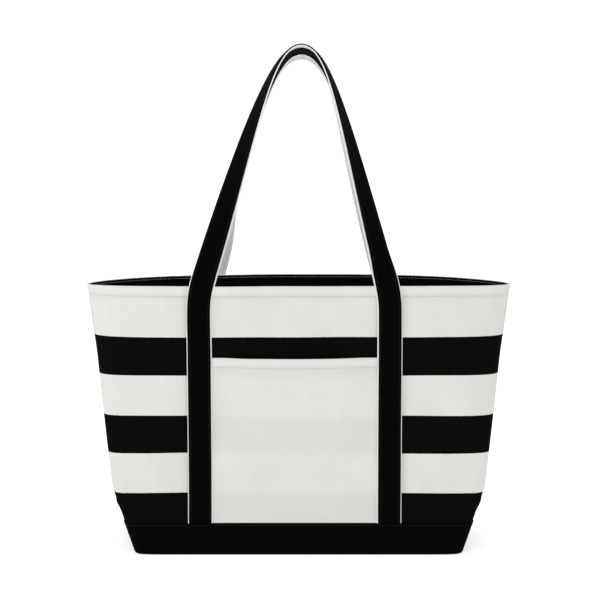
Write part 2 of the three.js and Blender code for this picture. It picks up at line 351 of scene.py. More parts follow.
def outline(height):
    """Half width, half depth, squareness and seam lean at each height. The width is straight from the
    base to the knee and from there to the mouth. The depth runs straight too, less a parabola for the
    waist, and the squareness falls with the square of the way down from the mouth."""
    s = body()
    t = height / RIM
    low = s.base_half_width + (s.knee_half_width - s.base_half_width) * height / s.knee_height
    climb = (height - s.knee_height) / (RIM - s.knee_height)
    high = s.knee_half_width + (RIM_HALF_WIDTH - s.knee_half_width) * climb
    half_depth = BASE_HALF_DEPTH + (s.rim_half_depth - BASE_HALF_DEPTH) * t - 4 * s.waist * t * (1 - t)
    squareness = s.rim_squareness + (s.base_squareness - s.rim_squareness) * (1 - t) ** 2
    return np.where(height < s.knee_height, low, high), half_depth, squareness, s.seam_lean * t


def relief(side, x, height, half_width):
    """How far the cloth stands off its plain outline: broad waves, slanting drags and fine ripples
    under the bands, all products of sines in radians a metre that fade out at the side seams and the
    boot, a bell-shaped fold above each boxed corner, and a bell-shaped tuck under the hem band."""
    s = body()
    fade = (1 - np.abs(x / half_width) ** 6) * smoothstep(height, BOOT_TOP, BOOT_TOP + 0.06)
    waves = np.sin(x * 14.5 + 0.7 * side + 5.0 * height) * np.sin(height * 13.0 + 0.4 + x * 2.2 * side)
    drag = np.sin((x * 0.8 + height * side * 0.6) * 58 + 1.3) * np.sin(x * 9 + height * 17)
    below_band = RIM - trim().band_height - height
    under_band = np.exp(-np.clip(below_band, 0, None) / 0.016)
    ripple = np.sin(x * 300 + 2.1 * np.sin(x * 47)) * under_band
    fold_x, fold_z = np.abs(x) - FOLD_AT[0], height - FOLD_AT[1]
    off = FOLD_SLOPE[0] * fold_x + FOLD_SLOPE[1] * fold_z
    along = FOLD_SLOPE[1] * fold_x - FOLD_SLOPE[0] * fold_z
    fold = np.exp(-((off / FOLD_SIZE[0]) ** 2) - (along / FOLD_SIZE[1]) ** 2)
    fold = s.corner_fold * fold * smoothstep(height, BOOT_TOP, BOOT_TOP + 0.015)
    tuck = s.tuck * np.exp(-(((below_band - 1.8 * MM) / (1.3 * MM)) ** 2))
    return fade * (s.slack * (waves + 0.45 * drag) + s.pucker * ripple) + fold - tuck


def lift(side, x, plain_y, height, out):
    """Points on the outline |x/a|^n + |y/b|^n = 1, leaned forward by lean (x/a)^2, dipped at the side
    seams, and pushed out along the outline's normal by out plus the cloth's relief."""
    half_width, half_depth, squareness, lean = outline(height)
    k = x / half_width
    fx = np.sign(x) * np.abs(k) ** (squareness - 1) / half_width
    fy = side * np.abs(plain_y / half_depth) ** (squareness - 1) / half_depth
    fx = fx - fy * 2 * lean * x / half_width**2
    size = np.hypot(fx, fy)
    push = out + relief(side, x, height, half_width)
    z = height - body().rim_dip * (height / RIM) * k**4
    return np.stack([x + push * fx / size, plain_y + lean * k**2 + push * fy / size, z], -1)


def on_panel(side, x, height, out):
    """Points on the front or back panel at each x and height, pushed out by out."""
    x, height, out = np.broadcast_arrays(x, height, out)
    half_width, half_depth, squareness, _ = outline(height)
    k = np.clip(np.abs(x / half_width), 0, 1)
    return lift(side, x, side * half_depth * (1 - k**squareness) ** (1 / squareness), height, out)


def on_wall(side, share, height, out):
    """Points on one half of the bag, share of the way from its left seam to its right seam, walked
    along the outline. share has one value for each column, height one for each row."""
    angle = np.pi * np.linspace(1, 0, 1801)
    columns = len(share)
    x, y = np.empty((len(height), columns)), np.empty((len(height), columns))
    for row, (a, b, n, lean) in enumerate(zip(*outline(height))):
        reach = (np.abs(np.cos(angle) / a) ** n + np.abs(np.sin(angle) / b) ** n) ** (-1 / n)
        px, py = reach * np.cos(angle), side * reach * np.sin(angle)
        leaned = py + lean * (px / a) ** 2
        run = run_along(np.stack([px, leaned], 1))
        x[row], y[row] = resampled(np.stack([px, py], 1), run, share * run[-1]).T
    heights = np.broadcast_to(height[:, None], x.shape)
    return lift(side, x, y, heights, out)


def seam_shares(columns, gap=0.0003):
    """Shares along a half outline, closer together near the two seams."""
    t = np.linspace(0, 1, columns)
    packed = t - 0.35 * np.sin(2 * np.pi * t) / (2 * np.pi)
    return gap + packed * (1 - 2 * gap)


def cloth_uv(points, height):
    """Metres across the cloth and up it, so that a weave keeps its scale and stripes stay level."""
    across = np.concatenate(
        [np.zeros((len(points), 1)), np.cumsum(np.linalg.norm(np.diff(points, axis=1), axis=-1), 1)], 1
    )
    across -= across.mean(1, keepdims=True)
    return np.stack([across, np.broadcast_to(height, across.shape)], -1)


# ---------------------------------------------------------------- shader groups


def new_group(name, inputs, outputs):
    """A shader node group of value sockets, inputs with their defaults, and its input and output nodes."""
    tree = bpy.data.node_groups.new(name, "ShaderNodeTree")
    for label, default in inputs.items():
        socket = tree.interface.new_socket(label, in_out="INPUT", socket_type="NodeSocketFloat")
        socket.default_value = default
    for label in outputs:
        tree.interface.new_socket(label, in_out="OUTPUT", socket_type="NodeSocketFloat")
    return tree, tree.nodes.new("NodeGroupInput"), tree.nodes.new("NodeGroupOutput")


def math_node(tree, operation, *inputs):
    """A Math node whose inputs are numbers or sockets; gives its output socket."""
    node = tree.nodes.new("ShaderNodeMath")
    node.operation = operation
    for socket, value in zip(node.inputs, inputs):
        if isinstance(value, (int, float)):
            socket.default_value = value
        else:
            tree.links.new(value, socket)
    return node.outputs[0]


def cloth_coordinates(tree):
    """The across and along sockets of the cloth's own UV map, in metres."""
    source = tree.nodes.new("ShaderNodeUVMap")
    source.uv_map = "cloth"
    split = tree.nodes.new("ShaderNodeSeparateXYZ")
    tree.links.new(source.outputs["UV"], split.inputs[0])
    return split.outputs["X"], split.outputs["Y"]


def noise_on_cloth(tree, across, along, scale_across, scale_along, detail=2.0):
    """A noise stretched over the cloth; scales are in features per metre."""
    place = tree.nodes.new("ShaderNodeCombineXYZ")
    tree.links.new(math_node(tree, "MULTIPLY", across, scale_across), place.inputs["X"])
    tree.links.new(math_node(tree, "MULTIPLY", along, scale_along), place.inputs["Y"])
    noise = tree.nodes.new("ShaderNodeTexNoise")
    noise.inputs["Scale"].default_value = 1.0
    noise.inputs["Detail"].default_value = detail
    tree.links.new(place.outputs[0], noise.inputs["Vector"])
    return noise.outputs["Fac"]


def weave_group():
    """Plain weave: one bump where each warp thread crosses over a weft thread, sin(u) sin(v), with
    slubs along both threads and a slow mottling of the cloth's tone."""
    name = "Plain weave"
    if name in bpy.data.node_groups:
        return bpy.data.node_groups[name]
    tree, given, result = new_group(name, {"Threads": 1000.0, "Slub": 0.5}, ("Height", "Tone"))
    across, along = cloth_coordinates(tree)
    waves = []
    for coordinate in (across, along):
        turns = math_node(tree, "MULTIPLY", coordinate, given.outputs["Threads"])
        waves.append(math_node(tree, "SINE", math_node(tree, "MULTIPLY", turns, math.pi)))
    crossing = math_node(tree, "MULTIPLY", *waves)
    ridge = math_node(tree, "ABSOLUTE", crossing)
    weave = math_node(tree, "MULTIPLY_ADD", crossing, 0.25, math_node(tree, "MULTIPLY", ridge, 0.6))
    warp = noise_on_cloth(tree, across, along, 900.0, 28.0)
    weft = noise_on_cloth(tree, across, along, 22.0, 850.0)
    slub = math_node(tree, "ADD", warp, weft)
    raised = math_node(tree, "MULTIPLY", slub, given.outputs["Slub"])
    tree.links.new(math_node(tree, "ADD", weave, raised), result.inputs["Height"])
    mottle = noise_on_cloth(tree, across, along, 26.0, 15.0, 4.0)
    yarn = math_node(tree, "MULTIPLY", slub, 0.30)
    tree.links.new(math_node(tree, "MULTIPLY_ADD", mottle, 0.4, yarn), result.inputs["Tone"])
    return tree


def stripe_group():
    """1 inside a black stripe and 0 between them. The stripe's edge wanders by a thread."""
    name = "Woven stripes"
    if name in bpy.data.node_groups:
        return bpy.data.node_groups[name]
    sizes = {"Softness": 0.0002, "Pitch": 0.1, "Width": 0.05, "Top": 0.3}
    tree, given, result = new_group(name, sizes, ("Mask",))
    across, along = cloth_coordinates(tree)
    wander = noise_on_cloth(tree, across, along, 420.0, 60.0)
    wander = math_node(tree, "MULTIPLY_ADD", wander, 0.0007, -0.00035)
    below_top = math_node(tree, "SUBTRACT", given.outputs["Top"], math_node(tree, "ADD", along, wander))
    in_pitch = math_node(tree, "WRAP", below_top, given.outputs["Pitch"], 0.0)
    half = math_node(tree, "MULTIPLY", given.outputs["Width"], 0.5)
    from_middle = math_node(tree, "ABSOLUTE", math_node(tree, "SUBTRACT", in_pitch, half))
    inside = math_node(tree, "SUBTRACT", half, from_middle)
    ramp = math_node(tree, "DIVIDE", inside, given.outputs["Softness"])
    ramp = math_node(tree, "ADD", ramp, 0.5)
    band = tree.nodes.new("ShaderNodeClamp")
    tree.links.new(ramp, band.inputs["Value"])
    on_cloth = math_node(tree, "GREATER_THAN", below_top, -0.001)
    tree.links.new(math_node(tree, "MULTIPLY", band.outputs[0], on_cloth), result.inputs["Mask"])
    return tree


def place_group(tree, group, **values):
    """A group's node in a material, with its own values."""
    node = tree.nodes.new("ShaderNodeGroup")
    node.node_tree = group
    for label, value in values.items():
        node.inputs[label].default_value = value
    return node


def mix_colour(tree, factor, first, second):
    """Mixes two colours, each a socket or red, green and blue, by the factor's socket."""
    node = tree.nodes.new("ShaderNodeMix")
    node.data_type = "RGBA"
    tree.links.new(factor, node.inputs["Factor"])
    for label, value in (("A", first), ("B", second)):
        if isinstance(value, tuple):
            node.inputs[label].default_value = (*value, 1.0)
        else:
            tree.links.new(value, node.inputs[label])
    return node.outputs["Result"]


# Each cloth's colour, threads in a metre, strength of the weave's bump, gloss, how far its tone varies,
# and how much its yarn swells and thins.
CLOTHS = {
    "Striped canvas": ("natural", 1000.0, 0.6, 0.01, 0.15, 0.5),
    "Natural canvas": ("natural", 1000.0, 0.6, 0.10, 0.15, 0.5),
    "Pocket canvas": ("natural", 1000.0, 0.6, 0.10, 0.15, 0.5),
    "Black canvas": ("black", 1000.0, 1.0, 0.03, 0.6, 0.5),
    "Black strap": ("black", 1100.0, 1.0, 0.03, 0.6, 0.5),
    "Strap backing": ("backing", 1100.0, 0.5, 0.10, 0.10, 0.5),
    "Lining cloth": ("lining", 2200.0, 0.3, 0.02, 0.3, 0.3),
}
# The stripes that a cloth shows: their colour and its brightness, the share of it that shows and the
# softness of their edges. On the pocket they are the body's stripes, seen faintly through its cloth.
STRIPES = {
    "Striped canvas": ("stripe", 1.0, 1.0, 0.0003),
    "Pocket canvas": ("natural", 0.9, 0.5, 0.012),
}
THREADS = {"Natural thread": ("natural", 1.0), "Black thread": ("stripe", 2.0)}
WEAVE_DEPTH, PLY_DEPTH = 0.3 * MM, 0.1 * MM


def shade_of(key, brightness=1.0):
    """A colour of the looks, made brighter or darker."""
    return tuple(min(channel * brightness, 1.0) for channel in getattr(looks(), key))


def new_material(name):
    """A node material, its tree and its Principled BSDF."""
    material = bpy.data.materials.new(name)
    material.use_nodes = True
    return material, material.node_tree, material.node_tree.nodes["Principled BSDF"]


def add_bump(tree, shader, height, strength, distance):
    """Lets a height bend the shader's normal."""
    node = tree.nodes.new("ShaderNodeBump")
    node.inputs["Strength"].default_value = strength
    node.inputs["Distance"].default_value = distance
    tree.links.new(height, node.inputs["Height"])
    tree.links.new(node.outputs["Normal"], shader.inputs["Normal"])


def cloth_material(name):
    """A woven cotton: its tone follows the yarn, its bump the weave, and the stripes' mask mixes them in."""
    key, threads, bump, gloss, tone, slub = CLOTHS[name]
    material, tree, shader = new_material(name)
    weave = place_group(tree, weave_group(), Threads=threads, Slub=slub)
    shade = mix_colour(tree, weave.outputs["Tone"], shade_of(key, 1 - tone), shade_of(key, 1 + tone))
    if name in STRIPES:
        key, brightness, share, softness = STRIPES[name]
        t = trim()
        sizes = {"Pitch": t.stripe_pitch, "Width": t.stripe_width, "Top": t.top_stripe}
        mask = place_group(tree, stripe_group(), Softness=softness, **sizes)
        amount = math_node(tree, "MULTIPLY", mask.outputs["Mask"], share)
        shade = mix_colour(tree, amount, shade, shade_of(key, brightness))
    tree.links.new(shade, shader.inputs["Base Color"])
    rough = math_node(tree, "MULTIPLY_ADD", weave.outputs["Tone"], 0.16, 0.80)
    tree.links.new(rough, shader.inputs["Roughness"])
    add_bump(tree, shader, weave.outputs["Height"], bump, WEAVE_DEPTH)
    shader.inputs["Specular IOR Level"].default_value = gloss
    return material


def thread_material(name):
    """Twisted sewing thread: fine slanting ridges along each stitch, a sine of around plus along. The colour
    is painted shade, darker in the grooves between the ridges.
    """
    key, brightness = THREADS[name]
    material, tree, shader = new_material(name)
    around, along = cloth_coordinates(tree)
    turns = math_node(tree, "MULTIPLY", around, 6.3)
    slant = math_node(tree, "ADD", turns, math_node(tree, "MULTIPLY", along, 26.0))
    ply = math_node(tree, "MULTIPLY_ADD", math_node(tree, "SINE", slant), 0.5, 0.5)
    # painted shade: the thread's colour falls to 0.8 of itself in the grooves between its ridges
    shade = mix_colour(tree, ply, shade_of(key, brightness * 0.8), shade_of(key, brightness))
    tree.links.new(shade, shader.inputs["Base Color"])
    add_bump(tree, shader, ply, 0.5, PLY_DEPTH)
    shader.inputs["Roughness"].default_value = 0.6
    shader.inputs["Specular IOR Level"].default_value = 0.25
    return material


def finish_piece(piece, name, slot, *replaced, rides=BAG):
    """Gives a piece its cloth or thread and body, and hides the CAD nodes that it stands for. slot is not
    used.
    """
    make = thread_material if name in THREADS else cloth_material
    piece.data.materials.append(bpy.data.materials.get(name) or make(name))
    if rides:
        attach(piece, rides)
    if replaced:
        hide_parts(*replaced)
    return piece


# ---------------------------------------------------------------- body, lining, boot


def body_half(name, side, node, grid, inside, outside):
    """One half of the bag's wall, from its CAD node's foot to the rim, between two offsets from its
    outline."""
    shares, heights = seam_shares(grid[0]), np.linspace(span(node, 2)[0], RIM, grid[1])
    outer = on_wall(side, shares, heights, outside)
    inner = on_wall(side, shares, heights, inside)
    return add_sheet(name, outer, inner, cloth_uv(outer, heights[:, None]))


class TOTE_OT_body(bpy.types.Operator):
    """Front and back canvas, sewn together at the sides."""

    bl_idname = "tote.body"
    bl_label = "Body canvas"

    def execute(self, context):
        for name, side in SIDES.items():
            node = f"{name}_panel"
            piece = body_half(f"{name}_canvas", side, node, BODY_GRID, -CANVAS, 0)
            finish_piece(piece, "Striped canvas", "natural_canvas", node)
        return {"FINISHED"}


def whole_ring(shares, height, out):
    """The whole outline at one height: the front from left to right, then the back, right to left."""
    row = np.array([height])
    front = on_wall(FRONT, shares, row, out)[0]
    back = on_wall(BACK, shares, row, out)[0]
    return np.vstack([front, back[::-1]])


def stacked_rings(profile, columns=200):
    """Rings of the bag's outline, one for each (share of the way out, offset, height) of a profile."""
    shares = seam_shares(columns, gap=0.0015)
    rings = []
    for share, out, height in profile:
        ring = whole_ring(shares, max(height, 0.0), out)
        ring[:, :2] *= share
        ring[:, 2] = height
        rings.append(ring)
    return np.array(rings)


def ring_uv(rings):
    """Across and along the cloth: plan position on flat stretches, and the way walked up the wall."""
    return rings[..., [0, 1]] + np.stack([rings[..., 2] * 0, rings[..., 2]], -1)


def boot_profile():
    """Across the bottom, round the base's edge, up the wall, over the folded top and down inside."""
    r = body().base_rounding
    out, inside = GAP + CANVAS, GAP
    turn = np.linspace(0, np.pi / 2, 7)
    under = [(share, out - r, 0.0) for share in (0.1, 0.4, 0.7, 0.9, 0.97)]
    edge = [(1, out - r * (1 - math.sin(t)), r * (1 - math.cos(t))) for t in turn]
    wall = [(1, out, h) for h in np.linspace(r, BOOT_TOP - 0.0012, 12)[1:]]
    fold = [(1, out - 0.1 * MM, BOOT_TOP - 0.5 * MM), (1, out - 0.35 * MM, BOOT_TOP - 0.1 * MM)]
    fold += [(1, inside + 0.35 * MM, BOOT_TOP), (1, inside, BOOT_TOP - 0.4 * MM)]
    back = [(1, inside, h) for h in (0.02, 0.006)]
    floor = [(share, inside - 0.002, CANVAS) for share in (0.995, 0.9, 0.5, 0.1)]
    return under + edge + wall + fold + back + floor


class TOTE_OT_boot(bpy.types.Operator):
    """Black canvas boot that wraps the base."""

    bl_idname = "tote.boot"
    bl_label = "Boot"

    def execute(self, context):
        rings = stacked_rings(boot_profile())
        piece = add_tube("boot", rings, ring_uv(rings))
        finish_piece(piece, "Black canvas", "black_canvas", "base_boot")
        return {"FINISHED"}


def floor_sheet(name, node, out, sag):
    """A flat cloth across the bottom of the bag, which rises sag at a few soft humps."""
    low, high = span(node, 2)
    shares = np.array([0.04, 0.2, 0.36, 0.52, 0.68, 0.82, 0.93, 0.985])
    under = [(share, out, low) for share in shares]
    over = [(share, out, high) for share in shares[::-1]]
    rings = stacked_rings(under + over)
    top = rings[len(shares) :]
    hump = np.sin(top[..., 0] * 31) * np.sin(top[..., 1] * 47 + 1) * 0.5 + 0.5
    reach = np.linspace(0.1, 1, len(shares))[:, None]
    top[..., 2] += sag * hump * reach
    return add_tube(name, rings, rings[..., :2].copy())


class TOTE_OT_lining(bpy.types.Operator):
    """Black lining inside, and the two cloths across the bottom."""

    bl_idname = "tote.lining"
    bl_label = "Lining"

    def execute(self, context):
        for name, side in SIDES.items():
            node = f"{name}_lining"
            piece = body_half(f"{name}_inner_lining", side, node, LINING_GRID, LINING_IN, LINING_OUT)
            finish_piece(piece, "Lining cloth", "black_lining", node)
        canvas_floor = floor_sheet("canvas_floor", "base_panel", -(CANVAS + GAP), 0.0)
        finish_piece(canvas_floor, "Natural canvas", "natural_canvas", "base_panel")
        lining_floor = floor_sheet("lining_floor", "base_lining", LINING_IN - GAP, 0.0012)
        finish_piece(lining_floor, "Lining cloth", "black_lining", "base_lining")
        return {"FINISHED"}


# ---------------------------------------------------------------- hem bands


def along_profile(points, count):
    """A smooth run of count points through (offset, height) pairs in millimetres, by arc length."""
    points = np.array(points) * MM
    run = run_along(points)
    return resampled(points, run, np.linspace(0, run[-1], count)).T


def hem_faces(height):
    """The outer and inner faces of a folded hem: up outside, over the cloth's edge and down behind.
    Offsets are from the cloth's outer face and heights from its top edge, in millimetres."""
    h = height / MM
    outer = [(0.35, -h), (0.9, -h - 0.15), (1.4, -h + 0.3), (1.5, -h + 1.3), (1.28, -h + 1.8)]
    outer += [(1.55, -h + 2.6), (1.7, -h / 2), (1.55, -1.6), (1.3, -0.3), (0.9, 0.45), (0.2, 0.75)]
    outer += [(-0.6, 0.65), (-1.1, 0.2), (-1.22, -0.5)]
    inner = [(0.3, -h + 0.2), (0.3, -h / 2), (0.3, -1.0), (0.25, 0.1)]
    inner += [(-0.4, 0.2), (-1.05, 0.1), (-1.1, -0.45)]
    return along_profile(outer, 34), along_profile(inner, 34)


class TOTE_OT_rim_bands(bpy.types.Operator):
    """Natural hem band folded over the mouth, in two halves."""

    bl_idname = "tote.rim_bands"
    bl_label = "Rim bands"

    def execute(self, context):
        (out, up), (in_out, in_up) = hem_faces(trim().band_height)
        shares = seam_shares(RIM_COLUMNS)
        for name, side in SIDES.items():
            outer = on_wall(side, shares, RIM + up, out[:, None])
            inner = on_wall(side, shares, RIM + in_up, in_out[:, None])
            uv = cloth_uv(outer, np.linspace(0, trim().band_height, len(up))[:, None])
            piece = add_sheet(f"{name}_rim_hem", outer, inner, uv)
            finish_piece(piece, "Natural canvas", "natural_canvas", f"{name}_rim_band")
        return {"FINISHED"}


# ---------------------------------------------------------------- pocket


def pocket_standoff(x, height):
    """Most at the middle of the mouth, none at the sides and the boot."""
    low, high = span("front_pocket", 0)
    flat = (high - low) / 2 - straps().backing_width / 2
    from_middle = np.abs(x - (low + high) / 2)
    free = 1 - smoothstep(from_middle, flat / 2, flat - 0.010)
    rise = np.sqrt(np.clip(height - BOOT_TOP, 0, None) / (POCKET_TOP - BOOT_TOP))
    folds = 1 + 0.12 * np.sin(x * 52 + 0.6) + 0.08 * np.sin(x * 23 + height * 21)
    return GAP + trim().pocket_gape * free * rise * folds


def pocket_points(x, height, out):
    """The pocket's cloth, out from the panel by its standoff. It sags with the square of the height
    and with one minus the square of the distance from the middle."""
    x, height, out = np.broadcast_arrays(x, height, out)
    points = on_panel(FRONT, x, height, out + pocket_standoff(x, height))
    low, high = span("front_pocket", 0)
    from_middle = (2 * x - low - high) / (high - low)
    rise = (height - BOOT_TOP) / (POCKET_TOP - BOOT_TOP)
    points[..., 2] -= trim().pocket_sag * (1 - from_middle**2) * rise**2
    return points


class TOTE_OT_pocket(bpy.types.Operator):
    """Slip pocket between the front straps, with a folded hem across its mouth."""

    bl_idname = "tote.pocket"
    bl_label = "Pocket"

    def execute(self, context):
        (left, right), (bottom, top) = span("front_pocket", 0), span("front_pocket", 2)
        x = np.linspace(left, right, POCKET_GRID[0])[None, :]
        height = np.linspace(bottom, top, POCKET_GRID[1])[:, None]
        outer, inner = pocket_points(x, height, CANVAS), pocket_points(x, height, 0.0)
        piece = add_sheet("slip_pocket", outer, inner, cloth_uv(outer, height))
        finish_piece(piece, "Pocket canvas", "natural_canvas", "front_pocket")

        left, right = span("pocket_hem_band", 0)
        x = np.linspace(left, right, POCKET_HEM_COLUMNS)[None, :]
        (out, up), (in_out, in_up) = hem_faces(trim().pocket_band_height)
        outer = pocket_points(x, POCKET_TOP + up[:, None], CANVAS + out[:, None])
        inner = pocket_points(x, POCKET_TOP + in_up[:, None], CANVAS + in_out[:, None])
        uv = cloth_uv(outer, np.linspace(0, trim().pocket_band_height, len(up))[:, None])
        band = add_sheet("pocket_hem", outer, inner, uv)
        finish_piece(band, "Natural canvas", "natural_canvas", "pocket_hem_band")
        return {"FINISHED"}


# ---------------------------------------------------------------- straps


def pair_of(name):
    """The side, moving body and loop sizes of the front or back strap."""
    scene = bpy.context.scene
    if name == "front":
        return {"name": name, "side": FRONT, "body": FRONT_HANDLE, "loop": scene.tote_front_loop}
    return {"name": name, "side": BACK, "body": BACK_HANDLE, "loop": scene.tote_back_loop}


def strap_centre(pair, sign, height):
    """Where a strap's middle lies across the bag: straight up the panel, then leaning inwards by the
    square of the height over the last stretch. sign is -1 on the left and +1 on the right."""
    s, loop = straps(), pair["loop"]
    rise = np.clip(height - (RIM - s.lean_height), 0, None) / s.lean_height
    return loop.shift + sign * (loop.half_spacing - s.lean * rise**2)


def bezier(points, t):
    """A cubic curve through its first and last control points."""
    p = np.array(points)
    t = t[:, None]
    return (1 - t) ** 3 * p[0] + 3 * (1 - t) ** 2 * t * p[1] + 3 * (1 - t) * t**2 * p[2] + t**3 * p[3]


def loop_controls(pair, sign):
    """The four control points of one leg of a loop, from its foot to the crown."""
    side, loop = pair["side"], pair["loop"]
    foot = on_panel(side, strap_centre(pair, sign, RIM), RIM, STRAP_PLANE).ravel()
    foot[2] = HINGE
    crown = np.array([loop.crown_shift, side * loop.crown_inset, HINGE + loop.drop])
    shoulder = foot + (crown - foot) * loop.shoulder_height / loop.drop
    shoulder[0] = sign * loop.shoulder_half_width
    crown_end = crown + [sign * loop.crown_half_width, 0, 0]
    return [foot, shoulder, crown_end, crown]


def eased(values, sigma):
    """Values along a path, each replaced by a bell-shaped average of its neighbours."""
    reach = int(3 * sigma)
    bell = np.exp(-0.5 * (np.arange(-reach, reach + 1) / sigma) ** 2)
    bell /= bell.sum()
    before = 2 * values[:1] - values[reach:0:-1]
    after = 2 * values[-1:] - values[-2 : -reach - 2 : -1]
    padded = np.concatenate([before, values, after])
    return np.stack([np.convolve(padded[:, k], bell, "valid") for k in range(values.shape[1])], 1)


def free_loop(pair, start):
    """A loop's middle line from foot to foot, its directions across, and the share climbed to the crown.
    Across is level at the feet and soon square to the loop, and is turned about the line by a foot's
    twist, which fades out by the crown, plus the crown's twist in proportion to the climb."""
    side, sizes = pair["side"], pair["loop"]
    t = np.linspace(0, 1, 400)
    rise = bezier(loop_controls(pair, start), t)
    fall = bezier(loop_controls(pair, -start), t[::-1])[1:]
    loop = np.vstack([rise, fall])
    tangent = unit(np.gradient(loop, axis=0))
    run = run_along(loop)
    first_half = run < run[-1] / 2
    climb = 1 - np.abs(2 * run / run[-1] - 1)
    outward = np.array([0.0, side, 0.0])
    square = unit(np.cross(tangent, outward))
    level = np.zeros_like(loop)
    level[:, 0] = np.where(first_half, -start, start)
    free = smoothstep(climb, 0, straps().settle)[:, None]
    sideways = unit(level * (1 - free) + square * free)
    facing = unit(outward - tangent * (tangent @ outward)[:, None])
    on_left = first_half == (side == FRONT)
    foot_twist = np.where(on_left, sizes.left_twist, sizes.right_twist)
    foot_by = np.where(on_left, sizes.left_by, sizes.right_by)
    twist = foot_twist * smoothstep(climb, 0, foot_by) * (1 - climb) + sizes.crown_twist * climb
    return loop, sideways * np.cos(twist)[:, None] + facing * np.sin(twist)[:, None], climb


def strap_path(pair, step=1.5 * MM):
    """The whole strap's middle line, from the foot of one sewn leg over the loop to the other: points,
    directions across and out of the strap, and the share climbed to the crown, every step."""
    side = pair["side"]
    start = side  # the first leg is on the left in front and on the right behind
    heights = np.linspace(span(f"{pair['name']}_strap_left", 2)[0], RIM, 240)
    up = on_panel(side, strap_centre(pair, start, heights), heights, STRAP_PLANE)
    down = on_panel(side, strap_centre(pair, -start, heights), heights, STRAP_PLANE)[::-1]
    loop, across, climb = free_loop(pair, start)

    def leg_across(sign, count):
        x = strap_centre(pair, sign, RIM / 2)
        slope = on_panel(side, x + 0.01, RIM / 2, 0.0) - on_panel(side, x - 0.01, RIM / 2, 0.0)
        return np.tile(unit(slope.ravel()) * -sign, (count, 1))

    line = np.vstack([up, loop, down])
    widths = np.vstack([leg_across(start, len(up)), across, leg_across(-start, len(down))])
    climbs = np.concatenate([np.zeros(len(up)), climb, np.zeros(len(down))])
    run = run_along(line)
    at = np.linspace(0, run[-1], int(run[-1] / step))
    sigma = straps().ease / step
    path, widths = (eased(resampled(values, run, at), sigma) for values in (line, widths))
    along = unit(np.gradient(path, axis=0))
    widths = squared_to(widths, along)
    climb = np.interp(at, run, climbs)
    return {"at": at, "points": path, "across": widths, "out": np.cross(widths, along), "climb": climb}


def strap_profile(width, thickness, crown, stitch_inset):
    """A flat strap's section, once round: a crowned face with a groove where each row of stitches pulls
    it down, a rounded edge, a flat back and the other edge. Gives positions across and out."""
    half, r = width / 2, thickness / 2
    w = np.linspace(-half + r, half - r, 27)
    groove = np.exp(-(((np.abs(w) - (half - stitch_inset)) / 0.0007) ** 2))
    face = thickness + crown * (1 - (w / half) ** 2) - 0.25 * MM * groove
    turn = np.linspace(np.pi / 2, -np.pi / 2, 7)[1:-1]
    edge_w, edge_n = half - r + r * np.cos(turn), r + r * np.sin(turn)
    back = np.linspace(half - r, -half + r, 9)
    across = np.concatenate([w, edge_w, back, -edge_w[::-1]])
    out = np.concatenate([face, edge_n, back * 0, edge_n[::-1]])
    return across, out


def carried(path, across, out):
    """A section carried along a strap's path. across and out are (path or 1, section) arrays."""
    sideways = path["across"][:, None] * across[..., None]
    return path["points"][:, None] + sideways + path["out"][:, None] * out[..., None]


def blend_over_rim(piece):
    """Bakes the piece's transform into its mesh."""
    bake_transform(piece)


def backing_hang(pair, path, w):
    """How far the back strap's backing hangs away from it near the crown: a bell along the strap times
    one minus the square of the distance from its middle. w is the place across."""
    s = straps()
    bell = np.exp(-(((1 - path["climb"]) / 0.115) ** 2))[:, None] * (pair["side"] == BACK)
    return bell * s.crown_bulge * np.clip(1 - (2 * w / s.backing_width) ** 2, 0, 1)[None]


def strap_nodes(name, kind):
    """The CAD nodes of a strap's two sewn legs."""
    return [f"{name}_{kind}_left", f"{name}_{kind}_right"]


class TOTE_OT_straps(bpy.types.Operator):
    """Two black straps, each doubled with a wider natural backing."""

    bl_idname = "tote.straps"
    bl_label = "Straps"

    def execute(self, context):
        s = straps()
        for name in SIDES:
            pair = pair_of(name)
            path = strap_path(pair)
            length_along = path["at"][:, None]

            w, n = strap_profile(s.strap_width, s.strap_thickness, 0.15 * MM, STITCH_INSET)
            rings = carried(path, w[None] + STRAP_OFFSET, n[None] + GAP / 2)
            uv = np.stack(np.broadcast_arrays(w[None], length_along), -1)
            strap = add_tube(f"{name}_black_strap", rings, uv, 60)
            nodes = strap_nodes(name, "strap") + [f"{name}_handle_strap"]
            finish_piece(strap, "Black strap", "black_strap", *nodes, rides=None)
            blend_over_rim(strap)

            w, n = strap_profile(s.backing_width, s.backing_thickness, 0.0, 4.0 * MM)
            rings = carried(path, w[None], -n[None] - GAP / 2 - backing_hang(pair, path, w))
            uv = np.stack(np.broadcast_arrays(w[None], length_along), -1)
            backing = add_tube(f"{name}_strap_lining", rings, uv, 60)
            nodes = strap_nodes(name, "strap_backing") + [f"{name}_handle_backing"]
            finish_piece(backing, "Strap backing", "strap_backing", *nodes, rides=None)
            blend_over_rim(backing)
        return {"FINISHED"}


# ---------------------------------------------------------------- seams and stitching


def sewn_row(line, above):
    """Places for stitches, evenly spaced along a dense line. above is the same line a little further from
    the cloth. Gives the places and the directions along the row and out of the cloth."""
    pitch = trim().stitch_pitch
    run = run_along(line)
    at = np.arange(pitch / 2, run[-1], pitch)
    places, along = resampled(line, run, at), unit(resampled(np.gradient(line, run, axis=0), run, at))
    return places, along, squared_to(resampled(above, run, at) - places, along)


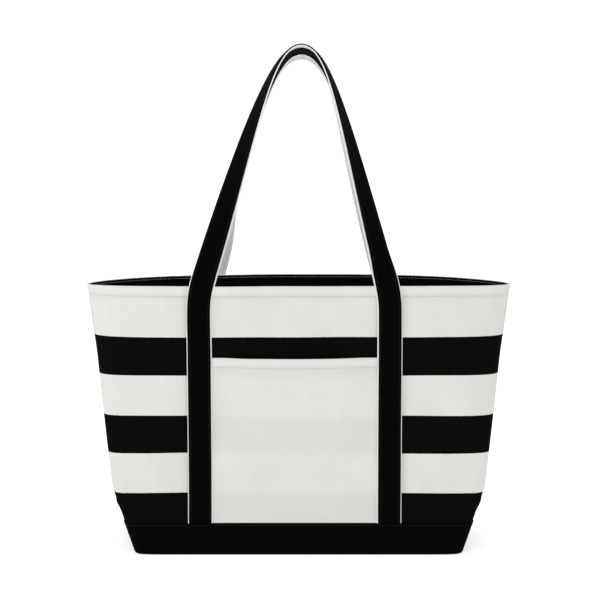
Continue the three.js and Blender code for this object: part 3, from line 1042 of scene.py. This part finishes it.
def add_stitches(name, rows, size=1.0):
    """Every stitch of the rows as one mesh: a thread of five sides that swells in the middle and dips
    into the cloth at both ends. Its height is its radius times 0.55 minus 1.5 times the fourth power of
    the place along it, from -1 to 1."""
    places, along, out = (np.concatenate([row[k] for row in rows]) for k in range(3))
    side = np.cross(along, out)
    radius, half = trim().thread * size, trim().stitch_length / 2
    way = np.array([-1.0, -0.72, 0.0, 0.72, 1.0])
    swell = np.array([0.35, 0.9, 1.0, 0.9, 0.35])
    rise = radius * (0.55 - 1.5 * way**4)
    sides = 5
    turn = np.arange(sides) * 2 * np.pi / sides
    lengthwise = along[:, None] * (way * half)[None, :, None]
    centre = places[:, None] + lengthwise + out[:, None] * rise[None, :, None]
    spoke = side[:, None] * np.cos(turn)[None, :, None] + out[:, None] * np.sin(turn)[None, :, None]
    rings = centre[:, :, None] + spoke[:, None] * (radius * swell)[None, :, None, None]
    count, ringed = len(places), len(way) * sides
    points = np.concatenate([rings.reshape(count, ringed, 3), centre[:, [0, -1]]], 1)
    quads = grid_quads(len(way), sides, wrap=True)
    triangles = end_fans(len(way), sides)
    offset = np.arange(count)[:, None, None] * (ringed + 2)
    quads, triangles = (quads[None] + offset).reshape(-1, 4), (triangles[None] + offset).reshape(-1, 3)
    uv = np.stack(np.broadcast_arrays(turn[None, :], way[:, None]), -1).reshape(ringed, 2)
    uv = np.vstack([uv, [[0, -1], [0, 1]]])
    return add_piece(name, points.reshape(-1, 3), quads, triangles, np.tile(uv, (count, 1)), 80)


def wall_row(side, height, out):
    """A row of stitches round one half of the bag at one height, almost from seam to seam."""
    shares, row = np.linspace(0.004, 0.996, 500), np.array([height])
    return sewn_row(on_wall(side, shares, row, out)[0], on_wall(side, shares, row, out + MM)[0])


def seam_strip(name, hand):
    """A strip of canvas folded over one side seam, from the boot to the hem band. The front and back
    parts of the outline meet at share 0 on the left and share 1 on the right."""
    width = np.linspace(0.0004, 0.0085, 6)
    width = width if hand < 0 else 1 - width
    heights = np.linspace(BOOT_TOP - 0.004, RIM - trim().band_height, 100)
    raised = (0.45 + 0.45 * (1 - np.linspace(1 / 11, 1, 6) ** 8)) * MM

    def face(out):
        front = on_wall(FRONT, width[::-1], heights, out[::-1])
        return np.concatenate([front, on_wall(BACK, width, heights, out)], 1)

    outer, inner = face(raised), face(np.full(6, 0.12 * MM))
    piece = add_sheet(name, outer, inner, cloth_uv(outer, heights[:, None]))
    finish_piece(piece, "Striped canvas", "natural_canvas")
    return piece


def seam_rows(hand):
    """Two rows of stitches down a side seam, one on the front and one on the back."""
    heights = np.linspace(BOOT_TOP + 0.002, RIM - trim().band_height - 0.002, 300)
    rows = []
    for side in (FRONT, BACK):
        share = np.array([0.0056 if hand < 0 else 1 - 0.0056])
        line, above = (on_wall(side, share, heights, out)[:, 0] for out in (0.85 * MM, 1.85 * MM))
        rows.append(sewn_row(line, above))
    return rows


class TOTE_OT_seams(bpy.types.Operator):
    """Side seams with their strips and stitches."""

    bl_idname = "tote.seams"
    bl_label = "Side seams"

    def execute(self, context):
        for name, hand in (("left", -1), ("right", 1)):
            seam_strip(f"{name}_side_seam", hand)
            stitches = add_stitches(f"{name}_seam_stitches", seam_rows(hand))
            finish_piece(stitches, "Natural thread", "natural_canvas")
        return {"FINISHED"}


def turned_in(row):
    """A row of stitches that faces into the bag."""
    places, along, out = row
    return places, along, -out


def box_rows(side, middle_x, width, top):
    """The square and cross that hold a strap, seen on the lining, along straight lines in x and height."""
    left, right, bottom = middle_x - width / 2, middle_x + width / 2, top - BOX_HEIGHT
    corners = [(left, bottom), (right, bottom), (right, top), (left, top), (left, bottom), (right, top)]
    t = np.linspace(0.02, 0.98, 60)
    rows = []
    for (x0, z0), (x1, z1) in [*zip(corners[:-1], corners[1:]), ((left, top), (right, bottom))]:
        x, height = x0 + (x1 - x0) * t, z0 + (z1 - z0) * t
        line, above = on_panel(side, x, height, LINING_IN), on_panel(side, x, height, LINING_IN + MM)
        rows.append(turned_in(sewn_row(line, above)))
    return rows


class TOTE_OT_stitching(bpy.types.Operator):
    """Rows of stitches along the bands, the boot, the lining's edge and both straps."""

    bl_idname = "tote.stitching"
    bl_label = "Stitching"

    def execute(self, context):
        t, s = trim(), straps()
        band_row = RIM - t.band_height + BAND_ROW
        for name, side in SIDES.items():
            band = add_stitches(f"{name}_band_stitches", [wall_row(side, band_row, ON_BAND)])
            finish_piece(band, "Natural thread", "natural_canvas")
            boot = add_stitches(f"{name}_boot_stitches", [wall_row(side, BOOT_TOP - BOOT_ROW, ON_BOOT)])
            finish_piece(boot, "Black thread", "black_canvas")
            inside = turned_in(wall_row(side, RIM - LINING_ROW, LINING_IN))
            lining = add_stitches(f"{name}_lining_stitches", [inside], 0.7)
            finish_piece(lining, "Natural thread", "natural_canvas")
            rows = []
            for hand in (-1, 1):
                x = strap_centre(pair_of(name), hand, RIM)
                rows += box_rows(side, x, s.strap_width - BOX_INSET, RIM - BOX_INSET)
            boxes = add_stitches(f"{name}_box_stitches", rows)
            finish_piece(boxes, "Black thread", "black_lining")

        left, right = span("pocket_hem_band", 0)
        x = np.linspace(left + 0.001, right - 0.001, 400)
        row = POCKET_TOP - t.pocket_band_height + BAND_ROW
        line, above = (pocket_points(x, row, CANVAS + out) for out in (ON_BAND, ON_BAND + MM))
        pocket = add_stitches("pocket_stitches", [sewn_row(line, above)])
        finish_piece(pocket, "Natural thread", "natural_canvas")

        for name in SIDES:
            pair = pair_of(name)
            path = strap_path(pair)
            place = s.strap_width / 2 - STITCH_INSET
            rows, under = [], []
            for w in (-place, place):
                line = path["points"] + path["across"] * (w + STRAP_OFFSET)
                top, bottom = GAP / 2 + s.strap_thickness - 0.05 * MM, -GAP / 2 - s.backing_thickness
                rows.append(sewn_row(line + path["out"] * top, line + path["out"] * (top + MM)))
                face = line + path["out"] * (bottom - backing_hang(pair, path, np.array([w])))
                under.append(sewn_row(face, face - path["out"] * MM))
            stitches = add_stitches(f"{name}_strap_stitches", rows)
            finish_piece(stitches, "Black thread", "black_strap", rides=None)
            blend_over_rim(stitches)
            free = [keep_free(row, BAND_BOTTOM_AT_SEAM + 0.02) for row in under]
            stitches = add_stitches(f"{name}_strap_under_stitches", free)
            finish_piece(stitches, "Natural thread", "strap_backing", rides=None)
            blend_over_rim(stitches)
        return {"FINISHED"}


def keep_free(row, above):
    """The stitches of a row that lie above a height."""
    keep = row[0][:, 2] > above
    return tuple(values[keep] for values in row)


# ---------------------------------------------------------------- stage


CAMERA_AT, CAMERA_AIM = (0.0016, -2.0, 0.55), (0.0016, 0.0, 0.298)
HALF_VIEW = 300 / 1653  # tangent of half the camera's angle
SURROUND = 1.06
# Each lamp's place, size and power.
LAMPS = {
    "key": ((-2.1, -1.3, 1.2), 0.7, 14.0),
    "top": ((0.2, 0.3, 2.6), 0.8, 6.0),
    "fill": ((0.9, -2.2, 0.5), 1.6, 6.0),
}


class TOTE_OT_stage(bpy.types.Operator):
    """Pale floor, white surround, soft lights and the camera."""

    bl_idname = "tote.stage"
    bl_label = "Stage"

    def execute(self, context):
        scene = context.scene
        bpy.ops.mesh.primitive_plane_add(size=30)
        floor = context.active_object
        floor.name = "studio_floor"
        floor.data.materials.append(floor_material())

        world = bpy.data.worlds.new("White surround")
        world.use_nodes = True
        background = world.node_tree.nodes["Background"].inputs
        background["Color"].default_value = (1, 1, 1, 1)
        background["Strength"].default_value = SURROUND
        scene.world = world

        for name, (place, size, power) in LAMPS.items():
            data = bpy.data.lights.new(name, "AREA")
            data.size = size
            data.energy = power
            place_aimed(name, data, place, (0, 0, RIM / 2))

        data = bpy.data.cameras.new("camera")
        data.sensor_width = data.sensor_height = 36.0
        data.angle = 2 * math.atan(HALF_VIEW)
        data.clip_end = 60
        scene.camera = place_aimed("camera", data, CAMERA_AT, CAMERA_AIM)
        scene.view_settings.view_transform = "Standard"
        return {"FINISHED"}


def place_aimed(name, data, place, aim):
    """An object for a lamp or a camera, looking from its place towards its aim."""
    item = bpy.data.objects.new(name, data)
    item.location = place
    item.rotation_euler = (Vector(aim) - Vector(place)).to_track_quat("-Z", "Y").to_euler()
    bpy.context.scene.collection.objects.link(item)
    return item


def floor_material():
    """A matt floor that also gives off a little light, so that it stays white round the bag."""
    material, _, shader = new_material("Studio floor")
    shader.inputs["Base Color"].default_value = (*looks().floor, 1)
    shader.inputs["Roughness"].default_value = 0.9
    shader.inputs["Specular IOR Level"].default_value = 0.1
    shader.inputs["Emission Color"].default_value = (1, 1, 1, 1)
    shader.inputs["Emission Strength"].default_value = looks().floor_glow
    return material


# ---------------------------------------------------------------- add-on


class TOTE_PT_panel(bpy.types.Panel):
    """Lists the tote's pieces."""

    bl_idname = "TOTE_PT_panel"
    bl_label = "Striped Tote"
    bl_space_type = "VIEW_3D"
    bl_region_type = "UI"
    bl_category = "Tote"

    def draw(self, context):
        for operator in OPERATORS:
            self.layout.operator(operator.bl_idname)
        for name in GROUPS:
            group = getattr(context.scene, name)
            for key in type(group).__annotations__:
                self.layout.prop(group, key)


OPERATORS = (
    TOTE_OT_stage,
    TOTE_OT_body,
    TOTE_OT_boot,
    TOTE_OT_lining,
    TOTE_OT_rim_bands,
    TOTE_OT_pocket,
    TOTE_OT_straps,
    TOTE_OT_seams,
    TOTE_OT_stitching,
)
GROUPS = {
    "tote_body": ToteBodySizes,
    "tote_trim": ToteTrimSizes,
    "tote_straps": ToteStrapSizes,
    "tote_front_loop": ToteLoopSizes,
    "tote_back_loop": ToteLoopSizes,
    "tote_looks": ToteLooks,
}


def register():
    """Adds the classes, and each group of sizes to the scene."""
    for cls in (*dict.fromkeys(GROUPS.values()), *OPERATORS, TOTE_PT_panel):
        bpy.utils.register_class(cls)
    for name, group in GROUPS.items():
        setattr(bpy.types.Scene, name, bpy.props.PointerProperty(type=group))


def unregister():
    """Takes the groups and classes away again."""
    for name in GROUPS:
        delattr(bpy.types.Scene, name)
    for cls in (TOTE_PT_panel, *reversed(OPERATORS), *dict.fromkeys(GROUPS.values())):
        bpy.utils.unregister_class(cls)


def run(operator):
    """Calls an operator by its bl_idname, and stops if it doesn't finish."""
    module, name = operator.bl_idname.split(".")
    if getattr(getattr(bpy.ops, module), name)() != {"FINISHED"}:
        raise RuntimeError(f"{operator.bl_idname} did not finish")


def main():
    """Builds every piece and the stage."""
    register()
    for key, value in BACK_LOOP.items():
        setattr(bpy.context.scene.tote_back_loop, key, value)
    for operator in OPERATORS:
        run(operator)


if __name__ == "__main__":
    main()
